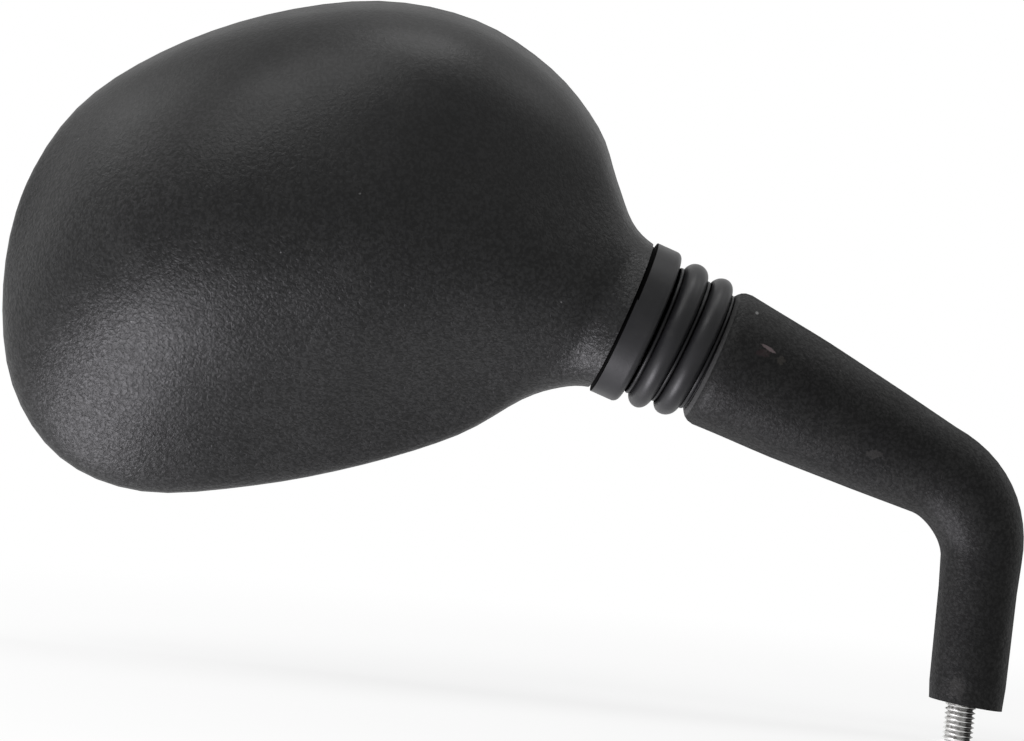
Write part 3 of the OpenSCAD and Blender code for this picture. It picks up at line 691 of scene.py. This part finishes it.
def makeFoldedSleeve(sizes):
    inputs = [("From", floatSocket, 0.0), ("To", floatSocket, 0.02)]
    inputs += [(title, floatSocket, value) for title, value in sizes["values"].items()]
    for ring, values in sizes["rings"].items():
        inputs += [(ring + " " + title, floatSocket, value) for title, value in zip(ringSizes, values)]
    inputs += [("Finish", finishSocket, None), ("Gap Shade Finish", finishSocket, None)]
    tree, given, result = newGroup("foldedSleeve", "GeometryNodeTree", inputs, [("Sleeve", shapeSocket)])
    # the rows run out along the outside and back along the bore, and the last lies on the first
    rows, last = sizes["rows"], sizes["rows"] + sizes["boreRows"] + 1
    grid, alongShare, roundShare = addGrid(tree, last, sizes["sides"])
    row, turn = reckon("ROUND", alongShare * last), roundShare * (2 * math.pi)
    back = reckon("DIVIDE", row - (rows + 1), sizes["boreRows"] - 1, clamp=True)
    way = reckon("DIVIDE", row, rows, clamp=True) - back
    station = (given["To"] - given["From"]) * way + given["From"]
    collar, lip = collarRadius(sizes, given, station, turn)
    radius = reckon("MAXIMUM", given["Tube Radius"], collar)
    profile = makeRingProfile()
    for ring in sizes["rings"]:
        values = {"Station": station, **{title: given[ring + " " + title] for title in ringSizes}}
        raised = read(addNode(tree, "GeometryNodeGroup", values, node_tree=profile))
        radius = reckon("MAXIMUM", radius, raised)
    inBore = (row > rows + 0.5) * (row < last - 0.5)
    radius = (given["Bore"] - radius) * inBore + radius
    # the rings lean a little where the sleeve bends, and the arm's end is lifted
    bow = between((station - given["Lean At"]) / given["Lean Reach"], -1.0, 1.0)
    lean = (reckon("COSINE", bow * math.pi) * 0.5 + 0.5) * given["Lean"]
    free = sizes["end"] - given["Collar To"]
    lift = reckon("DIVIDE", station - given["Collar To"], free, clamp=True) * given["Lift"]
    high = radius * reckon("COSINE", turn)
    x = station + sizes["neckEnd"] + high * reckon("SINE", lean)
    y = radius * reckon("SINE", turn)
    z = high * reckon("COSINE", lean) + lift
    kept = addNode(tree, "GeometryNodeCaptureAttribute", {"Geometry": grid})
    kept.capture_items.new("FLOAT", "Lip")
    feed(kept.inputs["Lip"], lip)
    welded = shapeGrid(read(kept, "Geometry"), x, y, z, sizes["weld"])
    turned = (0.0, math.atan2(-neckAxis.z, neckAxis.x), 0.0)
    placed = {"Geometry": welded, "Translation": ball, "Rotation": turned}
    smooth = smoothByAngle(read(addNode(tree, "GeometryNodeTransform", placed)), sizes["crease"])
    done = realWithFinish(smooth, given["Finish"])
    # painted shade: the lip gets the near-black gap finish
    gap = {"Geometry": done, "Selection": read(kept, "Lip"), "Material": given["Gap Shade Finish"]}
    feed(result[0], read(addNode(tree, "GeometryNodeSetMaterial", gap)))
    return tree


start, held, split, seam, end = (bellowsSet[key] for key in ("start", "held", "split", "seam", "end"))
sleeveTree = makeFoldedSleeve(bellowsSet)
rubbers = {"Finish": materials["blackRubber"], "Gap Shade Finish": materials["paintedGapShade"]}
collarHalf = runTree("bellowsCollarHalf", sleeveTree, {"From": start, "To": split - seam, **rubbers})
armHalf = runTree("bellowsArmHalf", sleeveTree, {"From": split + seam, "To": end, **rubbers})
for half in (collarHalf, armHalf):
    turnOutwards(half)
    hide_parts("bellows")
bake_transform(armHalf)
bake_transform(collarHalf)
print("bellows made")

# mounting stud: a thread cut round a plain core, and a plain grip inside the arm
studSet = {
    "values": {
        "Radius": 0.0040, "Depth": 0.00077, "Pitch": 0.00125, "Top": 0.0012, "Tip": -0.00898, "Point": 0.0007,
        "Grip Radius": 0.0046, "Grip From": 0.0013, "Grip To": 0.0240,
    },
    "crestShare": 1 / 8, "flankShare": 5 / 16,  # of one pitch
    "around": 56, "across": 16, "weld": 0.000002, "crease": math.radians(35),
}


def addCore(radius, low, high, sides):
    tall = high - low
    size = {"Vertices": sides, "Radius": radius, "Depth": tall}
    core = read(addNode(tall.tree, "GeometryNodeMeshCylinder", size), "Mesh")
    middle = read(addNode(tall.tree, "ShaderNodeCombineXYZ", {2: tall * 0.5 + low}))
    return read(addNode(tall.tree, "GeometryNodeTransform", {"Geometry": core, "Translation": middle}))


def makeThread(sizes):
    values, around = sizes["values"], sizes["around"]
    inputs = [(title, floatSocket, value) for title, value in values.items()]
    inputs += [("Finish", finishSocket, None)]
    tree, given, result = newGroup("cutThread", "GeometryNodeTree", inputs, [("Stud", shapeSocket)])
    turns = math.ceil((values["Top"] - values["Tip"]) / values["Pitch"]) + 1
    grid, alongShare, across = addGrid(tree, turns * around, sizes["across"])
    turn = alongShare * turns
    z = between(given["Top"] - (turn + across - 1.0) * given["Pitch"], given["Tip"], given["Top"])
    # the cut goes in by one flank, along the root and out by the other
    flank = sizes["flankShare"]
    share = reckon("MINIMUM", (across - sizes["crestShare"]) / flank, (1.0 - across) / flank)
    cut = between(share, 0.0, 1.0) * given["Depth"]
    bevel = given["Radius"] + (z - given["Tip"]) - given["Point"]
    radius = reckon("MINIMUM", given["Radius"] - cut, bevel)
    angle = turn * (2 * math.pi)
    x, y = radius * reckon("COSINE", angle), radius * reckon("SINE", angle)
    thread = shapeGrid(grid, x, y, z, sizes["weld"])
    core = addCore(given["Radius"] - given["Depth"], given["Tip"], given["Grip From"], around)
    grip = addCore(given["Grip Radius"], given["Grip From"], given["Grip To"], around)
    joined = addNode(tree, "GeometryNodeJoinGeometry")
    for part in (thread, core, grip):
        feed(joined.inputs[0], part)
    feed(result[0], realWithFinish(smoothByAngle(read(joined), sizes["crease"]), given["Finish"]))
    return tree


# plating on the thread: bright crests, grime and painted shade in the roots, and one side painted darker as
# shade
threadFinish = {
    "light": (0.88, 0.88, 0.87), "dark": (0.66, 0.66, 0.65), "root": 0.00330, "crest": 0.00385,
    "rootGrimeAndShade": (0.26, 0.25, 0.24), "rootGrimeAndShadeShare": (0.35, 0.9), "paintedShadeSide": (0.075, 0.072, 0.068),
    "paintedShadeSpan": (-0.0001, 0.0009), "paintedShadeLean": 0.25, "paintedShadeShare": (0.95, 0.78),
    "rough": (0.5, 0.24), "stretch": (1.0, 1.0, 3.0), "scale": 1100.0, "bump": 0.15,
}


def threadMetal(look, shared):
    material, shader, place = startMaterial("threadMetal")
    axes = addNode(place.tree, "ShaderNodeSeparateXYZ", {0: place})
    flat = read(addNode(place.tree, "ShaderNodeCombineXYZ", {0: read(axes, "X"), 1: read(axes, "Y")}))
    crest = mapRange(addVector("LENGTH", flat, output="Value"), (look["root"], look["crest"]))
    marks = useGroup(brushGroup, place, Stretch=look["stretch"], Scale=look["scale"])
    colour = mixColour(read(marks, "Lines"), look["dark"], look["light"])
    # grime and painted shade: the roots are always darker, and more so in stained patches
    rootGrimeAndShade = (1.0 - crest) * mapRange(read(marks, "Stain"), (0.0, 1.0), look["rootGrimeAndShadeShare"])
    colour = mixColour(rootGrimeAndShade, colour, look["rootGrimeAndShade"])
    # painted shade: one side of the stud is darker, the crests a little less so
    side = read(axes, "Y") * look["paintedShadeLean"] + read(axes, "X")
    most = mapRange(crest, (0.0, 1.0), look["paintedShadeShare"])
    colour = mixColour(mapRange(side, look["paintedShadeSpan"], (0.0, most), smooth=True), colour, look["paintedShadeSide"])
    feed(shader["Base Color"], colour)
    feed(shader["Roughness"], mapRange(crest, (0.0, 1.0), look["rough"]))
    feed(shader["Metallic"], 1.0)
    addBump(shader, read(marks, "Lines"), look["bump"], shared["bumpDepth"])
    return material


stud = runTree("threadedStud", makeThread(studSet), {"Finish": threadMetal(threadFinish, metalLines)})
turnOutwards(stud)
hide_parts("mounting_stud")
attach(stud, "arm")
print("mounting stud made")
